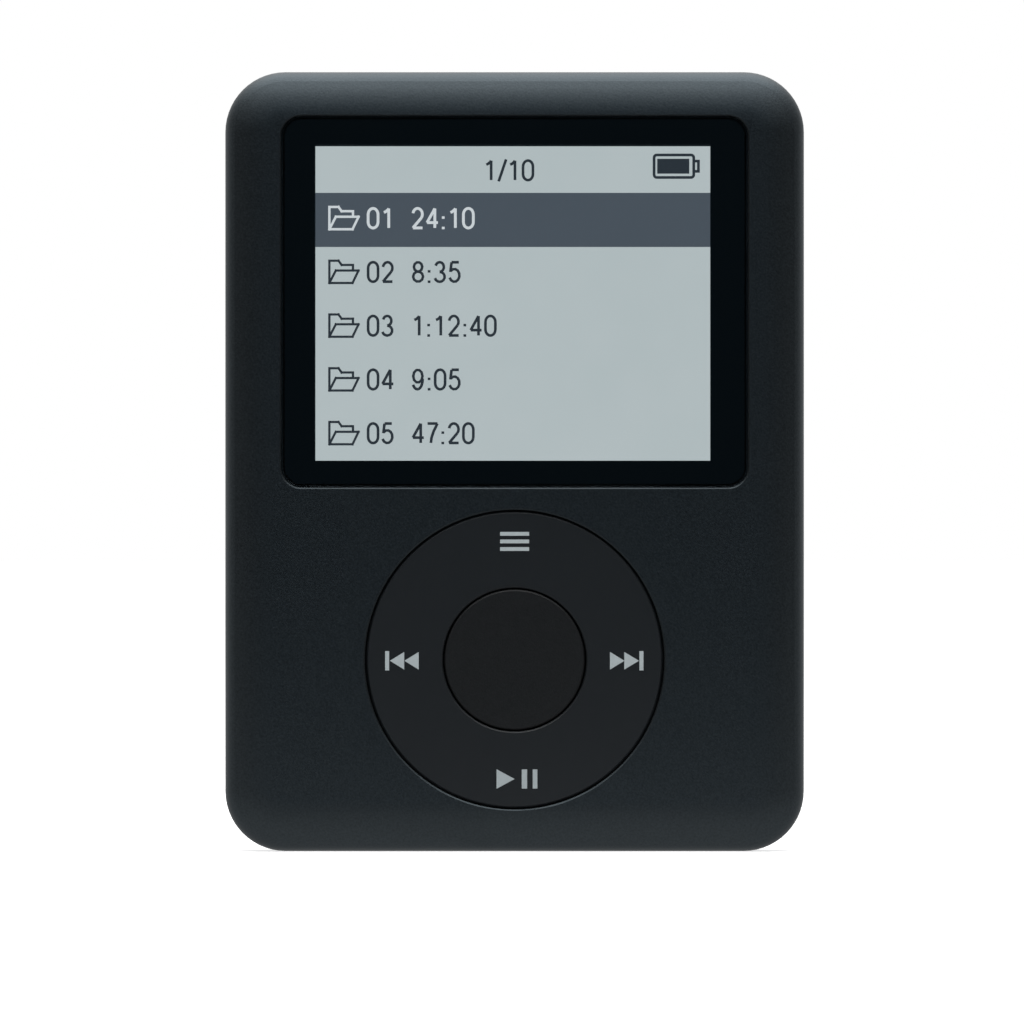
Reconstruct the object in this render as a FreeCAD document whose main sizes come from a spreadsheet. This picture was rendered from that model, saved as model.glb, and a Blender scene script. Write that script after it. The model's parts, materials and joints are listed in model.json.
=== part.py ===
# Audio story player: a pocket player with a lit display and a rocking control wheel.
# X runs to the right, Z up and -Y out of the front face. The origin is at the middle of the base.
# Depths are counted from the front face towards the back, heights from the base.
import FreeCAD, Part
import os
import re
from math import pi, radians

import Sketcher
from FreeCAD import Placement, Rotation, Vector

DOCUMENT = FreeCAD.newDocument("audio_story_player")
SHEET = DOCUMENT.addObject("Spreadsheet::Sheet", "Sizes")

# Driving dimensions in millimetres and degrees
SIZES = {
    # Outer form
    "body_width": 52.0,
    "body_height": 70.0,
    "body_depth": 8.0,
    "corner_radius": 5.4,
    "seam_land": 0.2,
    "front_roll_reach": 4.3,
    "front_roll_depth": 2.6,
    "front_roll_radius": 1.9,
    "front_wall": 1.4,
    "side_wall": 1.0,
    "back_roll_reach": 2.6,
    "back_roll_depth": 1.8,
    "back_roll_radius": 1.2,
    "cover_wall": 0.6,
    "edge_bevel": 0.12,
    # Window and display
    "window_side_margin": 5.25,
    "window_top_margin": 4.195,
    "window_wheel_margin": 2.375,
    "window_corner": 1.65,
    "window_gap": 0.2,
    "window_recess": 0.05,
    "window_thickness": 0.95,
    "mask_thickness": 0.1,
    "mask_side": 3.0,
    "mask_end": 2.3,
    "display_shift": -0.2,
    "display_drop": 0.08,
    "ledge_clearance": 0.5,
    "gasket_width": 1.7,
    "gasket_thickness": 0.3,
    "glass_side_lap": 0.25,
    "glass_end_lap": 0.025,
    "glass_thickness": 1.1,
    "backlight_clearance": 0.2,
    "backlight_end_lap": 0.5,
    "backlight_corner": 1.5,
    "backlight_thickness": 1.1,
    "flex_width": 12.0,
    "flex_thickness": 0.15,
    "flex_front_depth": 2.5,
    "flex_back_depth": 5.5,
    "flex_lug_clearance": 0.32,
    "flex_slot_margin": 0.4,
    # Control wheel, its gimbal and the centre button
    "wheel_middle": 17.23,
    "wheel_radius": 13.25,
    "wheel_gap": 0.2,
    "wheel_recess": 0.1,
    "wheel_flange_reach": 1.15,
    "wheel_travel_gap": 0.4,
    "wheel_flange_thickness": 0.3,
    "wheel_flange_clearance": 0.25,
    "nub_rim": 2.3,
    "nub_size": 1.6,
    "nub_play": 0.25,
    "lug_depth": 0.8,
    "lug_width": 1.6,
    "lug_height": 0.75,
    "pivot_gap": 0.45,
    "ear_width": 0.8,
    "pivot_clearance": 0.05,
    "pivot_wall": 0.25,
    "gimbal_thickness": 0.3,
    "gimbal_button_clearance": 1.2,
    "gimbal_lug_clearance": 0.3,
    "gimbal_nub_clearance": 0.3,
    "gimbal_grip": 0.3,
    "post_clearance": 0.35,
    "post_thickness": 1.0,
    "post_width": 1.6,
    "button_radius": 6.28,
    "button_gap": 0.17,
    "button_flange_reach": 0.92,
    "button_flange_depth": 2.3,
    "button_flange_thickness": 0.25,
    "button_stem_size": 2.2,
    "button_play": 0.28,
    "wheel_board_clearance": 0.6,
    "wheel_board_thickness": 0.4,
    "dome_radius": 1.5,
    "dome_height": 0.25,
    "centre_dome_radius": 2.2,
    "centre_dome_height": 0.3,
    # Middle frame and its fixings
    "frame_inset": 0.7,
    "frame_rail": 1.75,
    "frame_back_depth": 4.9,
    "plate_thickness": 0.45,
    "rest_height": 0.3,
    "rest_length": 13.0,
    "rest_width": 1.4,
    "rest_offset": 9.2,
    "boss_radius": 1.3,
    "boss_side_margin": 4.2,
    "boss_window_gap": 3.355,
    "screw_radius": 0.45,
    "screw_clearance": 0.05,
    "screw_head_radius": 0.9,
    "screw_head_height": 0.4,
    "screw_reach": 1.0,
    "board_boss_height": 1.1,
    "board_boss_side_margin": 8.5,
    "board_boss_low": 12.0,
    "board_boss_drop": 3.1,
    "snap_length": 5.0,
    "snap_depth": 4.2,
    "snap_thickness": 0.4,
    "snap_reach": 0.4,
    "snap_clearance": 0.1,
    "snap_end": 15.0,
    # Main board and what it carries
    "board_side_margin": 6.1,
    "board_low": 2.7,
    "board_flex_gap": 1.35,
    "board_thickness": 0.6,
    "bay_clearance": 0.2,
    "processor_size": 7.0,
    "processor_thickness": 0.9,
    "processor_low": 13.5,
    "memory_width": 12.0,
    "memory_height": 9.6,
    "memory_thickness": 1.0,
    "memory_left": 5.2,
    "memory_gap": 0.6,
    "audio_size": 5.0,
    "audio_thickness": 0.8,
    "audio_jack_gap": 1.6,
    "audio_low": 8.3,
    "crystal_width": 3.2,
    "crystal_height": 1.5,
    "crystal_thickness": 0.8,
    "crystal_left": -8.6,
    "crystal_low": 15.5,
    "capacitor_width": 1.0,
    "capacitor_height": 0.5,
    "capacitor_pitch": 1.8,
    "capacitor_boss_gap": 2.0,
    "capacitor_low": 9.5,
    "display_socket_width": 13.0,
    "display_socket_height": 2.6,
    "display_socket_thickness": 1.1,
    "display_socket_drop": 4.0,
    "wheel_socket_width": 6.0,
    "wheel_socket_height": 2.0,
    "wheel_socket_rise": 7.5,
    # Battery
    "battery_side_margin": 8.0,
    "battery_top_margin": 4.0,
    "battery_flex_gap": 1.5,
    "battery_back_clearance": 0.05,
    "battery_edge": 0.8,
    "tape_thickness": 0.1,
    "tape_inset": 3.0,
    "pad_thickness": 0.3,
    "pad_inset": 8.0,
    "battery_socket_width": 5.0,
    "battery_socket_height": 3.4,
    "battery_socket_thickness": 1.6,
    "battery_socket_margin": 2.9,
    "battery_socket_drop": 7.0,
    "lead_radius": 0.3,
    "lead_pitch": 2.0,
    # Ports and hold switch on the base
    "port_board_offset": 0.15,
    "port_cut_height": 2.0,
    "socket_width": 7.5,
    "socket_thickness": 2.5,
    "socket_length": 5.5,
    "socket_wall": 0.25,
    "socket_corner": 0.7,
    "socket_setback": 0.75,
    "socket_mouth_clearance": 0.15,
    "tongue_width": 4.6,
    "tongue_thickness": 0.6,
    "tongue_length": 3.8,
    "tongue_root": 0.9,
    "tab_width": 1.2,
    "tab_height": 2.0,
    "tab_thickness": 0.2,
    "tab_rise": 1.8,
    "contact_width": 0.35,
    "contact_pitch": 0.8,
    "contact_thickness": 0.1,
    "contact_length": 3.4,
    "jack_side_margin": 9.0,
    "jack_width": 6.0,
    "jack_front_reach": 2.25,
    "jack_cover_gap": 0.05,
    "jack_length": 11.85,
    "jack_setback": 2.4,
    "jack_nose_setback": 0.45,
    "jack_nose_clearance": 0.05,
    "jack_bore_radius": 1.775,
    "jack_bore_length": 12.5,
    "jack_hole_radius": 2.0,
    "jack_tail_length": 1.4,
    "jack_tail_width": 1.2,
    "jack_tail_pitch": 3.5,
    "jack_tail_thickness": 0.2,
    "hold_side_margin": 10.0,
    "hold_travel": 2.0,
    "hold_knob_length": 3.4,
    "hold_knob_width": 1.5,
    "hold_knob_recess": 0.05,
    "hold_slot_clearance": 0.1,
    "hold_slot_corner": 0.7,
    "hold_flange_overlap": 0.3,
    "hold_flange_front_reach": 1.1,
    "hold_flange_roll_gap": 0.05,
    "hold_flange_gap": 0.05,
    "hold_flange_thickness": 0.5,
    "hold_stem_size": 0.8,
    "hold_stem_length": 1.7,
    "hold_body_length": 8.0,
    "hold_body_thickness": 2.2,
    "hold_body_height": 2.9,
    "hold_body_low": 1.7,
    "grip_width": 0.25,
    "grip_length": 1.2,
    "grip_pitch": 0.7,
    "grip_height": 0.15,
}

for row, (size_name, size) in enumerate(SIZES.items(), start=1):
    SHEET.set(f"A{row}", size_name)
    SHEET.set(f"B{row}", str(size))
    SHEET.setAlias(f"B{row}", size_name)
DOCUMENT.recompute()

# Depths from the front face
SEAM = "(front_roll_depth + seam_land)"
POCKET_DEPTH = "(window_recess + window_thickness + mask_thickness)"
GLASS_FRONT = "(front_wall + gasket_thickness)"
BACKLIGHT_FRONT = f"({GLASS_FRONT} + glass_thickness)"
PLATE_FRONT = f"({BACKLIGHT_FRONT} + backlight_thickness)"
PLATE_BACK = f"({PLATE_FRONT} + plate_thickness)"
BOARD_BACK = f"({PLATE_BACK} + board_thickness)"
FLANGE_FRONT = "(front_wall + wheel_travel_gap)"
FLANGE_BACK = f"({FLANGE_FRONT} + wheel_flange_thickness)"
BUTTON_FLANGE_BACK = "(button_flange_depth + button_flange_thickness)"
PIVOT_DEPTH = f"({FLANGE_BACK} + pivot_gap)"
EAR_SLOT = "(gimbal_thickness + 2 * pivot_clearance)"
PIVOT_END = f"({PIVOT_DEPTH} + {EAR_SLOT} / 2 + pivot_wall)"
WHEEL_BOARD_BACK = f"({PLATE_FRONT} - rest_height)"
WHEEL_BOARD_FRONT = f"({WHEEL_BOARD_BACK} - wheel_board_thickness)"
CELL_FRONT = f"({PLATE_BACK} + tape_thickness)"
CELL_BACK = "(body_depth - cover_wall - battery_back_clearance - pad_thickness)"
PORT_DEPTH = f"({BOARD_BACK} + port_board_offset)"
BASE_DEPTH = f"({PORT_DEPTH} - body_depth / 2)"

# Radii about the middle of the wheel
WHEEL_BORE = "(button_radius + button_gap)"
WHEEL_HOLE = "(wheel_radius + wheel_gap)"
WHEEL_FLANGE = "(wheel_radius + wheel_flange_reach)"
LUG_INNER = f"({WHEEL_FLANGE} - lug_depth)"
POST_INNER = f"({WHEEL_FLANGE} + post_clearance)"
BUTTON_FLANGE = "(button_radius + button_flange_reach)"
GIMBAL_INNER = f"({BUTTON_FLANGE} + gimbal_button_clearance)"
GIMBAL_OUTER = f"({LUG_INNER} - gimbal_lug_clearance)"
NUB_CIRCLE = f"({GIMBAL_OUTER} - nub_rim)"

# Widths and places across
WINDOW_WIDTH = "(body_width - 2 * window_side_margin)"
DISPLAY_WIDTH = f"({WINDOW_WIDTH} - 2 * mask_side)"
GLASS_WIDTH = f"({WINDOW_WIDTH} + 2 * glass_side_lap)"
RAIL_INSET = "(frame_inset + frame_rail)"
BACKLIGHT_WIDTH = f"(body_width - 2 * ({RAIL_INSET} + backlight_clearance))"
BOSS_ACROSS = "(body_width / 2 - boss_side_margin)"
BOARD_BOSS_ACROSS = "(body_width / 2 - board_boss_side_margin)"
BOARD_WIDTH = "(body_width - 2 * board_side_margin)"
BATTERY_WIDTH = "(body_width - 2 * battery_side_margin)"
BATTERY_SOCKET_LEFT = f"(battery_socket_margin - {BOARD_WIDTH} / 2)"
JACK_ACROSS = "(body_width / 2 - jack_side_margin)"
HOLD_ACROSS = "(hold_side_margin - body_width / 2)"
HOLD_SLOT_LENGTH = "(hold_knob_length + hold_travel + 2 * hold_slot_clearance)"
HOLD_SLOT_WIDTH = "(hold_knob_width + 2 * hold_slot_clearance)"
HOLD_FLANGE_LENGTH = f"({HOLD_SLOT_LENGTH} + hold_travel + 2 * hold_flange_overlap)"
HOLD_KNOB_ACROSS = f"({HOLD_ACROSS} - hold_travel / 2)"

# Heights from the base
WINDOW_LOW = "(wheel_middle + wheel_radius + window_wheel_margin)"
WINDOW_HEIGHT = f"(body_height - window_top_margin - {WINDOW_LOW})"
WINDOW_MIDDLE = f"({WINDOW_LOW} + {WINDOW_HEIGHT} / 2)"
DISPLAY_HEIGHT = f"({WINDOW_HEIGHT} - 2 * mask_end)"
DISPLAY_MIDDLE = f"({WINDOW_MIDDLE} - display_drop)"
GLASS_HEIGHT = f"({WINDOW_HEIGHT} + 2 * glass_end_lap)"
GLASS_LOW = f"({WINDOW_MIDDLE} - {GLASS_HEIGHT} / 2)"
BOSS_MIDDLE = f"({WINDOW_LOW} - boss_window_gap)"
FLEX_RUN = f"(wheel_middle + {WHEEL_FLANGE} + flex_lug_clearance)"
BOARD_HIGH = f"({FLEX_RUN} - board_flex_gap)"
DISPLAY_SOCKET_LOW = f"({BOARD_HIGH} - display_socket_drop)"
MEMORY_LOW = f"({DISPLAY_SOCKET_LOW} - memory_gap - memory_height)"
BATTERY_LOW = f"({FLEX_RUN} + flex_thickness + battery_flex_gap)"
BATTERY_HEIGHT = f"(body_height - battery_top_margin - {BATTERY_LOW})"
BATTERY_SOCKET_TOP = f"({BOARD_HIGH} - battery_socket_drop + battery_socket_height)"
HOLD_FLANGE_LOW = "(cover_wall + hold_flange_gap)"

DOME_SIDES = 8
HEAD_SIDES = 12
HOLE_SIDES = 8
SNAP_COUNT = 3
CAPACITOR_COLUMNS = 5
CAPACITOR_ROWS = 2
CONTACT_COUNT = 5
JACK_TAIL_COUNT = 3

PARTS = []


def value(expression):
    """The present value of an expression of sizes."""
    return float(SHEET.evalExpression(expression))


def bound(expression):
    """The same expression with each size read from the sheet."""
    return re.sub(r"[a-z]+_\w+", lambda word: "Sizes." + word.group(), expression)


def new_body(label):
    body = DOCUMENT.addObject("PartDesign::Body", label)
    body.Label = label
    PARTS.append(body)
    return body


def new_sketch(body, name, plane, offset, up="0", flipped=False):
    """A sketch on one of the body's own origin planes, moved along the plane's normal by offset."""
    sketch = body.newObject("Sketcher::SketchObject", name)
    origin_plane = next(item for item in body.Origin.OriginFeatures if item.Role == plane)
    sketch.AttachmentSupport = [(origin_plane, "")]
    sketch.MapMode = "FlatFace"
    if flipped:
        sketch.AttachmentOffset = Placement(Vector(), Rotation(Vector(0, 1, 0), 180))
    sketch.setExpression("AttachmentOffset.Base.y", bound(up))
    sketch.setExpression("AttachmentOffset.Base.z", bound(offset))
    return sketch


def facing(body, name, depth, up="0"):
    """A sketch that faces the front, at a depth from the front face: X across, Z up."""
    return new_sketch(body, name, "XZ_Plane", f"body_depth / 2 - ({depth})", up)


def drive(sketch, expression, kind, *where):
    """A constraint whose size follows an expression."""
    index = sketch.addConstraint(Sketcher.Constraint(kind, *where, value(expression)))
    sketch.setExpression(f"Constraints[{index}]", bound(expression))


def place_point(sketch, geometry, point, across, up):
    drive(sketch, across, "DistanceX", -1, 1, geometry, point)
    drive(sketch, up, "DistanceY", -1, 1, geometry, point)


def circle(sketch, across, up, radius):
    centre = Vector(value(across), value(up), 0)
    index = sketch.addGeometry(Part.Circle(centre, Vector(0, 0, 1), value(radius)), False)
    place_point(sketch, index, 3, across, up)
    drive(sketch, radius, "Radius", index)


def many_sided(sketch, across, up, radius, sides):
    """A regular outline, for small screws, domes and holes."""
    turns = [f"{360 * side / sides}" for side in range(sides)]
    polygon(sketch, [(f"{across} + {radius} * cos({turn})", f"{up} + {radius} * sin({turn})")
                     for turn in turns])


def polygon(sketch, points):
    """A closed outline of straight lines through points given as expressions."""
    places = [Vector(value(across), value(up), 0) for across, up in points]
    lines = []
    for index, place in enumerate(places):
        end = places[(index + 1) % len(places)]
        lines.append(sketch.addGeometry(Part.LineSegment(place, end), False))
    for index, line in enumerate(lines):
        following = lines[(index + 1) % len(lines)]
        sketch.addConstraint(Sketcher.Constraint("Coincident", line, 2, following, 1))
        place_point(sketch, line, 1, *points[index])


def rectangle(sketch, left, low, width, height):
    right = f"{left} + {width}"
    top = f"{low} + {height}"
    polygon(sketch, [(left, low), (right, low), (right, top), (left, top)])


def rounded_rectangle(sketch, across, up, width, height, radius):
    """A rounded rectangle about a middle point. It starts with the corner at the lower right."""
    arcs = []
    for right, top, start in ((1, -1, -90), (1, 1, 0), (-1, 1, 90), (-1, -1, 180)):
        centre_across = f"{across} + ({right}) * (({width}) / 2 - ({radius}))"
        centre_up = f"{up} + ({top}) * (({height}) / 2 - ({radius}))"
        centre = Vector(value(centre_across), value(centre_up), 0)
        whole = Part.Circle(centre, Vector(0, 0, 1), value(radius))
        arc = Part.ArcOfCircle(whole, radians(start), radians(start + 90))
        index = sketch.addGeometry(arc, False)
        place_point(sketch, index, 3, centre_across, centre_up)
        drive(sketch, radius, "Radius", index)
        arcs.append(index)
    for index, arc in enumerate(arcs):
        following = arcs[(index + 1) % len(arcs)]
        start = sketch.getPoint(arc, 2)
        end = sketch.getPoint(following, 1)
        line = sketch.addGeometry(Part.LineSegment(start, end), False)
        sketch.addConstraint(Sketcher.Constraint("Tangent", arc, 2, line, 1))
        sketch.addConstraint(Sketcher.Constraint("Tangent", line, 2, following, 1))


def pad(body, name, sketch, length, backwards=False):
    feature = body.newObject("PartDesign::Pad", name)
    feature.Profile = sketch
    feature.setExpression("Length", bound(length))
    feature.Reversed = backwards
    return feature


def pocket(body, name, sketch, length, backwards=False):
    feature = body.newObject("PartDesign::Pocket", name)
    feature.Profile = sketch
    feature.setExpression("Length", bound(length))
    feature.Reversed = backwards
    return feature


def slab(body, name, sketch, thickness):
    """A pad that grows from a facing sketch towards the back."""
    return pad(body, name, sketch, thickness, backwards=True)


def turned(body, name, sketch):
    """A full revolution about the sketch's own horizontal axis."""
    feature = body.newObject("PartDesign::Revolution", name)
    feature.Profile = sketch
    feature.ReferenceAxis = (sketch, ["H_Axis"])
    feature.Angle = 360
    return feature


def block(label, left, depth, low, width, thickness, height):
    """A plain rectangular component, placed by its left, front and lower faces."""
    item = DOCUMENT.addObject("Part::Box", label)
    item.Label = label
    item.setExpression("Length", bound(width))
    item.setExpression("Width", bound(thickness))
    item.setExpression("Height", bound(height))
    item.setExpression("Placement.Base.x", bound(left))
    item.setExpression("Placement.Base.y", bound(f"{depth} - body_depth / 2"))
    item.setExpression("Placement.Base.z", bound(low))
    return item


def group(label, items):
    """Separate solids that share one node."""
    gathered = DOCUMENT.addObject("Part::Compound", label)
    gathered.Label = label
    gathered.Links = items
    PARTS.append(gathered)


def dome(label, across, up, radius, height):
    """A stamped snap dome with cut-off corners, which stands on the wheel board."""
    item = DOCUMENT.addObject("Part::Prism", label)
    item.Polygon = DOME_SIDES
    item.Placement.Rotation = Rotation(Vector(1, 0, 0), 90)
    item.setExpression("Circumradius", bound(radius))
    item.setExpression("Height", bound(height))
    item.setExpression("Placement.Base.x", bound(across))
    item.setExpression("Placement.Base.y", bound(f"{WHEEL_BOARD_FRONT} - body_depth / 2"))
    item.setExpression("Placement.Base.z", bound(f"wheel_middle + {up}"))
    return item


def rolled_wall(body, flipped, reach, roll, radius, face_wall, edge_wall, seam):
    """The rolled edge of a shell: a wall section swept round the outline of the player.

    Outside, the section runs from the flat face through two tangent arcs to the side and the seam.
    """
    path = facing(body, "outline", "body_depth / 2")
    rounded_rectangle(path, "0", "body_height / 2", "body_width", "body_height", "corner_radius")
    start = "body_width / 2 - corner_radius"
    section = new_sketch(body, "wall_section", "YZ_Plane", start, flipped=flipped)
    face = "-body_depth / 2"
    shoulder = f"{face} + {roll}"
    inner_face = f"{face} + {face_wall}"

    spare = f"2 * ({roll} - {radius})"
    flat_radius = value(f"({reach} ^ 2 + {roll} ^ 2 - 2 * {reach} * {radius}) / ({spare})")
    flat_middle = Vector(value(face) + flat_radius, value(reach), 0)
    tight_middle = Vector(value(shoulder), value(radius), 0)
    join = pi + Vector(-1, 0, 0).getAngle(tight_middle - flat_middle)
    flat_circle = Part.Circle(flat_middle, Vector(0, 0, 1), flat_radius)
    tight_circle = Part.Circle(tight_middle, Vector(0, 0, 1), value(radius))
    flat_arc = section.addGeometry(Part.ArcOfCircle(flat_circle, pi, join), False)
    tight_arc = section.addGeometry(Part.ArcOfCircle(tight_circle, join, 1.5 * pi), False)
    section.addConstraint(Sketcher.Constraint("Tangent", flat_arc, 2, tight_arc, 1))
    drive(section, reach, "DistanceY", -1, 1, flat_arc, 3)
    place_point(section, flat_arc, 1, face, reach)
    place_point(section, tight_arc, 3, shoulder, radius)
    drive(section, shoulder, "DistanceX", -1, 1, tight_arc, 2)
    drive(section, radius, "Radius", tight_arc)

    inner_points = [(seam, "0"), (seam, edge_wall), (shoulder, edge_wall),
                    (inner_face, f"{reach} - {face_wall}"), (inner_face, reach)]
    places = [section.getPoint(tight_arc, 2)]
    places += [Vector(value(across), value(up), 0) for across, up in inner_points]
    places.append(section.getPoint(flat_arc, 1))
    lines = [section.addGeometry(Part.LineSegment(start, end), False)
             for start, end in zip(places, places[1:])]
    chain = [(tight_arc, 2)] + [(line, 2) for line in lines]
    for (before, point), following in zip(chain, lines + [flat_arc]):
        section.addConstraint(Sketcher.Constraint("Coincident", before, point, following, 1))
    for line, (across, up) in zip(lines, inner_points):
        place_point(section, line, 2, across, up)

    sweep = body.newObject("PartDesign::AdditivePipe", "rolled_edge")
    sweep.Profile = section
    sweep.Spine = (path, [])
    return sweep


def inset_plate(body, name, depth, thickness, inset):
    """A plate that follows the outline of the player at an inset."""
    outline = facing(body, f"{name}_outline", depth)
    rounded_rectangle(outline, "0", "body_height / 2", f"body_width - 2 * ({inset})",
                      f"body_height - 2 * ({inset})", f"corner_radius - {inset}")
    return slab(body, name, outline, thickness)


def frame_fixings(sketch, radius, draw=circle):
    for side in ("-", ""):
        draw(sketch, f"{side}{BOSS_ACROSS}", BOSS_MIDDLE, radius)


def display_surround(sketch, margin):
    """A rectangle round the lit display at a margin."""
    rectangle(sketch, f"display_shift - {DISPLAY_WIDTH} / 2 - ({margin})",
              f"{DISPLAY_MIDDLE} - {DISPLAY_HEIGHT} / 2 - ({margin})",
              f"{DISPLAY_WIDTH} + 2 * ({margin})", f"{DISPLAY_HEIGHT} + 2 * ({margin})")


def board_fixings(sketch, radius, draw=circle):
    draw(sketch, f"-{BOARD_BOSS_ACROSS}", "board_boss_low", radius)
    draw(sketch, BOARD_BOSS_ACROSS, f"({BOARD_HIGH} - board_boss_drop)", radius)


def small_holes(sketch, across, up, radius):
    many_sided(sketch, across, up, radius, HOLE_SIDES)


def small_heads(sketch, across, up, radius):
    many_sided(sketch, across, up, radius, HEAD_SIDES)


def port_bays(sketch, low):
    """Room for the hold switch, the charge socket and the headphone jack, open at the base."""
    rectangle(sketch, f"{HOLD_ACROSS} - ({HOLD_FLANGE_LENGTH} + hold_travel) / 2 - bay_clearance", low,
              f"{HOLD_FLANGE_LENGTH} + hold_travel + 2 * bay_clearance",
              f"hold_body_low + hold_body_height + bay_clearance - {low}")
    rectangle(sketch, "-socket_width / 2 - bay_clearance", low, "socket_width + 2 * bay_clearance",
              f"socket_setback + socket_length + bay_clearance - {low}")
    rectangle(sketch, f"{JACK_ACROSS} - jack_width / 2 - bay_clearance", low,
              "jack_width + 2 * bay_clearance", f"jack_setback + jack_length + bay_clearance - {low}")


def ear_slot(sketch, upright):
    """The slot that an ear of the gimbal plate rocks in."""
    start = f"{PIVOT_DEPTH} - {EAR_SLOT} / 2 - body_depth / 2"
    if upright:
        rectangle(sketch, start, "-ear_width / 2 - pivot_clearance", EAR_SLOT,
                  "ear_width + 2 * pivot_clearance")
    else:
        rectangle(sketch, "-ear_width / 2 - pivot_clearance", start,
                  "ear_width + 2 * pivot_clearance", EAR_SLOT)


def make_front_housing():
    body = new_body("front_housing")
    rolled_wall(body, False, "front_roll_reach", "front_roll_depth", "front_roll_radius",
                "front_wall", "side_wall", f"{SEAM} - body_depth / 2")
    inset_plate(body, "front_plate", "0", "front_wall", "front_roll_reach")

    window = facing(body, "window_pocket_outline", "0")
    rounded_rectangle(window, "0", WINDOW_MIDDLE, f"{WINDOW_WIDTH} + 2 * window_gap",
                      f"{WINDOW_HEIGHT} + 2 * window_gap", "window_corner + window_gap")
    pocket(body, "window_pocket", window, POCKET_DEPTH)
    lip = facing(body, "window_bevel_outline", "0")
    rounded_rectangle(lip, "0", WINDOW_MIDDLE, f"{WINDOW_WIDTH} + 2 * (window_gap + edge_bevel)",
                      f"{WINDOW_HEIGHT} + 2 * (window_gap + edge_bevel)",
                      "window_corner + window_gap + edge_bevel")
    bevel = pocket(body, "window_bevel", lip, "edge_bevel")
    bevel.TaperAngle = -45
    aperture = facing(body, "display_aperture_outline", "0")
    display_surround(aperture, "ledge_clearance")
    pocket(body, "display_aperture", aperture, "front_wall")

    hole = new_sketch(body, "wheel_hole_section", "YZ_Plane", "0", up="wheel_middle")
    room = f"{WHEEL_FLANGE} + wheel_flange_clearance"
    polygon(hole, [("-body_depth / 2", "0"), ("-body_depth / 2", f"{WHEEL_HOLE} + edge_bevel"),
                   ("edge_bevel - body_depth / 2", WHEEL_HOLE),
                   ("front_wall - body_depth / 2", WHEEL_HOLE), ("front_wall - body_depth / 2", room),
                   (f"{SEAM} - body_depth / 2", room), (f"{SEAM} - body_depth / 2", "0")])
    cut = body.newObject("PartDesign::Groove", "wheel_hole")
    cut.Profile = hole
    cut.ReferenceAxis = (hole, ["H_Axis"])
    cut.Angle = 360

    bosses = facing(body, "boss_circles", "front_wall / 2")
    frame_fixings(bosses, "boss_radius")
    slab(body, "screw_bosses", bosses, f"{PLATE_FRONT} - front_wall / 2")
    pilots = facing(body, "boss_holes", f"({PLATE_FRONT} - screw_reach - screw_head_height)")
    frame_fixings(pilots, "(screw_radius + screw_clearance)", small_holes)
    pocket(body, "boss_pilots", pilots, "screw_reach + screw_head_height")

    posts = facing(body, "pivot_post_outlines", "front_wall / 2", up="wheel_middle")
    rectangle(posts, POST_INNER, "-post_width / 2", "post_thickness", "post_width")
    rectangle(posts, f"-{POST_INNER} - post_thickness", "-post_width / 2", "post_thickness", "post_width")
    slab(body, "pivot_posts", posts, f"{PIVOT_END} - front_wall / 2")
    slot = new_sketch(body, "pivot_slot", "YZ_Plane", "0", up="wheel_middle")
    ear_slot(slot, upright=True)
    slots = pocket(body, "pivot_slots", slot, f"2 * ({POST_INNER} + post_thickness)")
    slots.Midplane = True


def snap_middle(step):
    """The height of one of the snaps, which are evenly spaced up each side."""
    return f"snap_end + {step} * (body_height - 2 * snap_end) / {SNAP_COUNT - 1}"


def make_rear_cover():
    body = new_body("rear_cover")
    rolled_wall(body, True, "back_roll_reach", "back_roll_depth", "back_roll_radius",
                "cover_wall", "cover_wall", f"body_depth / 2 - {SEAM}")
    inset_plate(body, "back_plate", "(body_depth - cover_wall)", "cover_wall", "back_roll_reach")

    snaps = facing(body, "snap_outlines", "snap_depth")
    for side in ("-1", "1"):
        for step in range(SNAP_COUNT):
            rectangle(snaps, f"({side}) * (body_width / 2 - cover_wall / 2)",
                      f"{snap_middle(step)} - snap_length / 2",
                      f"({side}) * -(cover_wall / 2 + snap_reach)", "snap_length")
    slab(body, "snap_ridges", snaps, "snap_thickness")

    ports = new_sketch(body, "port_outlines", "XY_Plane", "0")
    socket_outline(ports, "-socket_mouth_clearance")
    circle(ports, JACK_ACROSS, BASE_DEPTH, "jack_hole_radius")
    rounded_rectangle(ports, HOLD_ACROSS, BASE_DEPTH, HOLD_SLOT_LENGTH, HOLD_SLOT_WIDTH,
                      "hold_slot_corner + hold_slot_clearance")
    pocket(body, "port_cuts", ports, "port_cut_height", backwards=True)


def make_window():
    body = new_body("display_window")
    outline = facing(body, "window_outline", "window_recess + edge_bevel")
    rounded_rectangle(outline, "0", WINDOW_MIDDLE, WINDOW_WIDTH, WINDOW_HEIGHT, "window_corner")
    slab(body, "window_lens", outline, "window_thickness - edge_bevel")
    rim = facing(body, "window_rim_outline", "window_recess + edge_bevel")
    rounded_rectangle(rim, "0", WINDOW_MIDDLE, WINDOW_WIDTH, WINDOW_HEIGHT, "window_corner")
    bevel = pad(body, "window_rim", rim, "edge_bevel")
    bevel.TaperAngle = -45

    body = new_body("window_mask")
    outline = facing(body, "mask_outline", "(window_recess + window_thickness)")
    rounded_rectangle(outline, "0", WINDOW_MIDDLE, WINDOW_WIDTH, WINDOW_HEIGHT, "window_corner")
    display_surround(outline, "0")
    slab(body, "mask_print", outline, "mask_thickness")


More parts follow.
